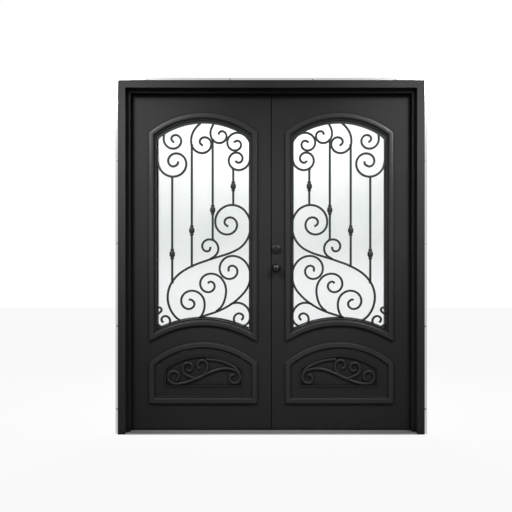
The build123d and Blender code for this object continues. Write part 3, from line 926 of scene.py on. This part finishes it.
def grilleBars(lines):
    return barsAlong(lines, (openings["centre"], iron["middleY"], 0), *iron["bar"], "ironPaint")


def drawScrollwork():
    return grilleBars(scrollLines())


def drawUprights():
    lines = [[Vector((x, low)), Vector((x, high))] for x, low, high, swelling in iron["uprights"]]
    points = [(openings["centre"] + x, iron["middleY"], swelling)
              for x, low, high, swelling in iron["uprights"]]
    knuckles = fittingsAt(turned(iron["knuckle"], segments=28), points, "ironPaint", *iron["knuckleSizes"])
    return joined(grilleBars(lines), knuckles)


def drawWelds():
    points = []
    aside, beyond = iron["weldAside"], iron["weldBeyond"]
    for x, low, high, swelling in iron["uprights"]:
        for z in (low - beyond, high + beyond):
            points += [(openings["centre"] + x + side * aside, iron["middleY"], z) for side in (-1, 1)]
    for stations in cornerScrolls()[2:4] + lowerScrolls()[:1] + lowerScrolls()[2:4]:
        start = stations[0][0]
        points.append((openings["centre"] + start.x, iron["middleY"] + beyond, start.y))
    weld = turned(iron["weld"], segments=14)
    return fittingsAt(weld, points, "ironPaint", *iron["weldSizes"], iron["weldTurn"])


def drawRelief():
    middle = (openings["centre"], iron["reliefMiddleY"], 0)
    return barsAlong(reliefLines(), middle, *iron["relief"], "trimPaint")


leafPieces(drawScrollwork, "Scrollwork", "ironPaint", ["scroll_grille"])
leafPieces(drawUprights, "UprightBars", "ironPaint", ["grille_bars"])
leafPieces(drawWelds, "GrilleWelds", "ironPaint")
leafPieces(drawRelief, "ReliefScrolls", "trimPaint", ["kick_scrolls"])
print("ironwork ready")

# Locks of the right leaf, turned about the axes of the knob and of the bolt
locks = {
    "x": 0.030, "knobZ": 1.001, "boltZ": 1.117, "middleY": 0.097, "segments": 48,
    "ball": (0.0600, 0.0248, 0.0221),   # reach of its middle, radius across, radius along
    "ballArc": (-60, 90, 10),
    "neck": ((0.0089, 0.0), (0.0089, 0.0345), (0.0104, 0.0352), (0.0118, 0.0372),
             (0.0118, 0.0392), (0.0108, 0.0402)),
    "rose": ((0.0092, 0.0), (0.0270, 0.0), (0.0270, 0.0022), (0.0262, 0.0034), (0.0240, 0.0044),
             (0.0205, 0.0050), (0.0190, 0.0066), (0.0168, 0.0078), (0.0120, 0.0080), (0.0092, 0.0080),
             (0.0092, 0.0)),
    "bolt": ((0, 0.0), (0.0270, 0.0), (0.0270, 0.0030), (0.0262, 0.0046), (0.0240, 0.0058),
             (0.0208, 0.0066), (0.0184, 0.0070), (0.0180, 0.0080), (0.0180, 0.0180), (0.0172, 0.0206),
             (0.0158, 0.0217), (0.0128, 0.0219), (0.0122, 0.0207), (0.0100, 0.0205), (0.0097, 0.0211),
             (0.0, 0.0213)),
    "turnPlate": ((0, 0.0), (0.0270, 0.0), (0.0270, 0.0030), (0.0262, 0.0046), (0.0240, 0.0060),
                  (0.0120, 0.0080), (0.0080, 0.0084), (0.0070, 0.0140), (0, 0.0142)),
    # Two corners of a block from the bolt's axis on the leaf's face, and its edge
    "keyway": ((-0.0010, -0.0216, -0.0048), (0.0010, -0.0193, 0.0052), 0.0003),
    "wing": ((-0.0042, 0.012, -0.0175), (0.0042, 0.0255, 0.0175), 0.0038),
}


def lockPart(section, axis, y, z):
    return moved(turned(section, locks["segments"], axis), locks["x"], y, z)


def drawKnob():
    reach, across, along = locks["ball"]
    section = [(0, 0)] + list(locks["neck"])
    for degrees in range(*locks["ballArc"]):
        angle = math.radians(degrees)
        section.append((across * math.cos(angle), reach + along * math.sin(angle)))
    section.append((0, reach + along))
    return joined(*[lockPart(section, axis, locks["middleY"], locks["knobZ"]) for axis in ("-Y", "Y")])


def drawRoses():
    return joined(lockPart(locks["rose"], "-Y", leafFront, locks["knobZ"]),
                  lockPart(locks["rose"], "Y", leafBack, locks["knobZ"]))


def drawBolt():
    return lockPart(locks["bolt"], "-Y", leafFront, locks["boltZ"])


# Painted shade: a black block on the bolt's face stands in for the dark of the key slot
def drawKeyway():
    return moved(softBlock(*locks["keyway"]), locks["x"], leafFront, locks["boltZ"])


def drawThumbTurn():
    wing = moved(softBlock(*locks["wing"]), locks["x"], leafBack, locks["boltZ"])
    return joined(lockPart(locks["turnPlate"], "Y", leafBack, locks["boltZ"]), wing)


finishPiece(drawKnob(), "turnedKnobs", "knob", "lockMetal", ["knob"])
finishPiece(drawRoses(), "knobPlates", "right_leaf", "lockMetal", ["knob_roses"])
finishPiece(drawBolt(), "boltCylinder", "right_leaf", "lockMetal", ["deadbolt"])
finishPiece(drawKeyway(), "keyway", "right_leaf", "sealRubber")
finishPiece(drawThumbTurn(), "thumbTurnWing", "right_leaf", "lockMetal", ["thumb_turn"])

# Edge plates of latch and bolt, with their strikes on the other leaf
edgePlates = {
    "low": (-0.0025, -0.0125, -0.029),
    "high": (-0.0016, 0.0125, 0.029),
    "rim": 0.0003,
    "screw": ((0, 0.0), (0.0032, 0.0), (0.0030, 0.0006), (0.0018, 0.0009), (0, 0.0009)),
    "screwHeight": 0.022,
}


def edgePlate(z):
    y = locks["middleY"]
    plate = moved(softBlock(edgePlates["low"], edgePlates["high"], edgePlates["rim"]), 0, y, z)
    points = [(edgePlates["high"][0], y, z + side * edgePlates["screwHeight"]) for side in (-1, 1)]
    screw = turned(edgePlates["screw"], segments=20, axis="X")
    return joined(plate, fittingsAt(screw, points, "lockMetal"))


def edgePlatePair():
    return joined(edgePlate(locks["knobZ"]), edgePlate(locks["boltZ"]))


leafPieces(edgePlatePair, "EdgePlates", "lockMetal")
print("locks ready")

# Fixing screws and hinge caps
fittings = {
    "panHead": ((0, 0.0), (0.0052, 0.0), (0.0052, 0.0008), (0.0046, 0.0018), (0.0034, 0.0023),
                (0.0017, 0.0024), (0.0015, 0.0013), (0, 0.0013)),
    "flangeX": 0.930, "flangeZ": 2.137, "flangeFace": -0.003,
    "sideHeights": (0.150, 0.650, 1.150, 1.650), "headSpans": (-0.750, -0.250, 0.250, 0.750),
    "beadScrewGap": 0.185, "beadOffset": 0.002,
    "hingeX": -0.8745, "hingeY": 0.134, "hingeHeights": (0.250, 1.040, 1.830), "hingeHalf": 0.058,
    "hingeCap": ((0.0090, -0.0006), (0.0092, 0.0), (0.0092, 0.0010), (0.0080, 0.0022), (0.0064, 0.0028),
                 (0.0050, 0.0042), (0.0030, 0.0052), (0, 0.0055)),
}


def drawFlangeScrews():
    face = fittings["flangeFace"]
    points = [(side * fittings["flangeX"], face, z) for side in (-1, 1) for z in fittings["sideHeights"]]
    points += [(x, face, fittings["flangeZ"]) for x in fittings["headSpans"]]
    return fittingsAt(turned(fittings["panHead"], segments=20, axis="-Y"), points, "sillMetal")


def alongLoop(loop, gap):
    points = []
    travelled = gap / 2
    for a, b in zip(loop, loop[1:] + loop[:1]):
        length = (b - a).length
        while travelled < length:
            points.append(a.lerp(b, travelled / length))
            travelled += gap
        travelled -= length
    return points


def drawBeadScrews():
    loop = archedLoop(light, fittings["beadOffset"])
    points = [(openings["centre"] + p.x, leafBack, p.y) for p in alongLoop(loop, fittings["beadScrewGap"])]
    return fittingsAt(turned(fittings["panHead"], segments=20, axis="Y"), points, "leafPaint")


def hingePoints(rise):
    return [(fittings["hingeX"], fittings["hingeY"], z + rise) for z in fittings["hingeHeights"]]


def drawHingeCaps():
    cap = turned(fittings["hingeCap"], segments=28)
    return fittingsAt(cap, hingePoints(fittings["hingeHalf"]), "leafPaint")


def drawHingeFeet():
    cap = turned(fittings["hingeCap"], segments=28)
    bmesh.ops.scale(cap, vec=(1, 1, -1), verts=cap.verts)
    return fittingsAt(cap, hingePoints(-fittings["hingeHalf"]), "framePaint")


finishPiece(drawFlangeScrews(), "flangeScrews", "frame", "sillMetal")
leafPieces(drawBeadScrews, "BeadScrews", "leafPaint")
leafPieces(drawHingeCaps, "HingeCaps", "leafPaint")
for side in sides:
    finishPiece(drawHingeFeet(), side + "HingeFeet", "frame", "framePaint", (), side == "right")

# Rubber seals, each bar by its width, depth, corner radius and corner steps
seals = {
    "stopX": 0.863, "stopY": 0.0696, "stopTop": 2.0702, "stopFoot": 0.010,
    "stopBar": (0.0075, 0.0044, 0.0020, 4),
    "meetingX": 0.0, "meetingY": 0.1165, "meetingTop": 2.0745, "meetingFoot": 0.0088,
    "meetingBar": (0.0050, 0.0085, 0.0012, 3),
    "sweepInner": -0.0029, "sweepOuter": -0.866, "sweepY": 0.096, "sweepZ": 0.0112,
    "sweepBar": (0.0056, 0.014, 0.0014, 3),
}


def drawStopSeal():
    side, top, foot = seals["stopX"], seals["stopTop"], seals["stopFoot"]
    lines = [[Vector((-side, foot)), Vector((-side, top))], [Vector((side, foot)), Vector((side, top))],
             [Vector((-side, top)), Vector((side, top))]]
    return barsAlong(lines, (0, seals["stopY"], 0), *seals["stopBar"], "sealRubber")


def drawSweep():
    line = [Vector((seals["sweepOuter"], seals["sweepZ"])), Vector((seals["sweepInner"], seals["sweepZ"]))]
    return barsAlong([line], (0, seals["sweepY"], 0), *seals["sweepBar"], "sealRubber")


def drawMeetingSeal():
    x, foot, top = seals["meetingX"], seals["meetingFoot"], seals["meetingTop"]
    line = [Vector((x, foot)), Vector((x, top))]
    return barsAlong([line], (0, seals["meetingY"], 0), *seals["meetingBar"], "sealRubber")


finishPiece(drawStopSeal(), "stopSeal", "frame", "sealRubber")
finishPiece(drawMeetingSeal(), "meetingSeal", "left_leaf", "sealRubber")
leafPieces(drawSweep, "FootSweep", "sealRubber")
print("fittings and seals ready")
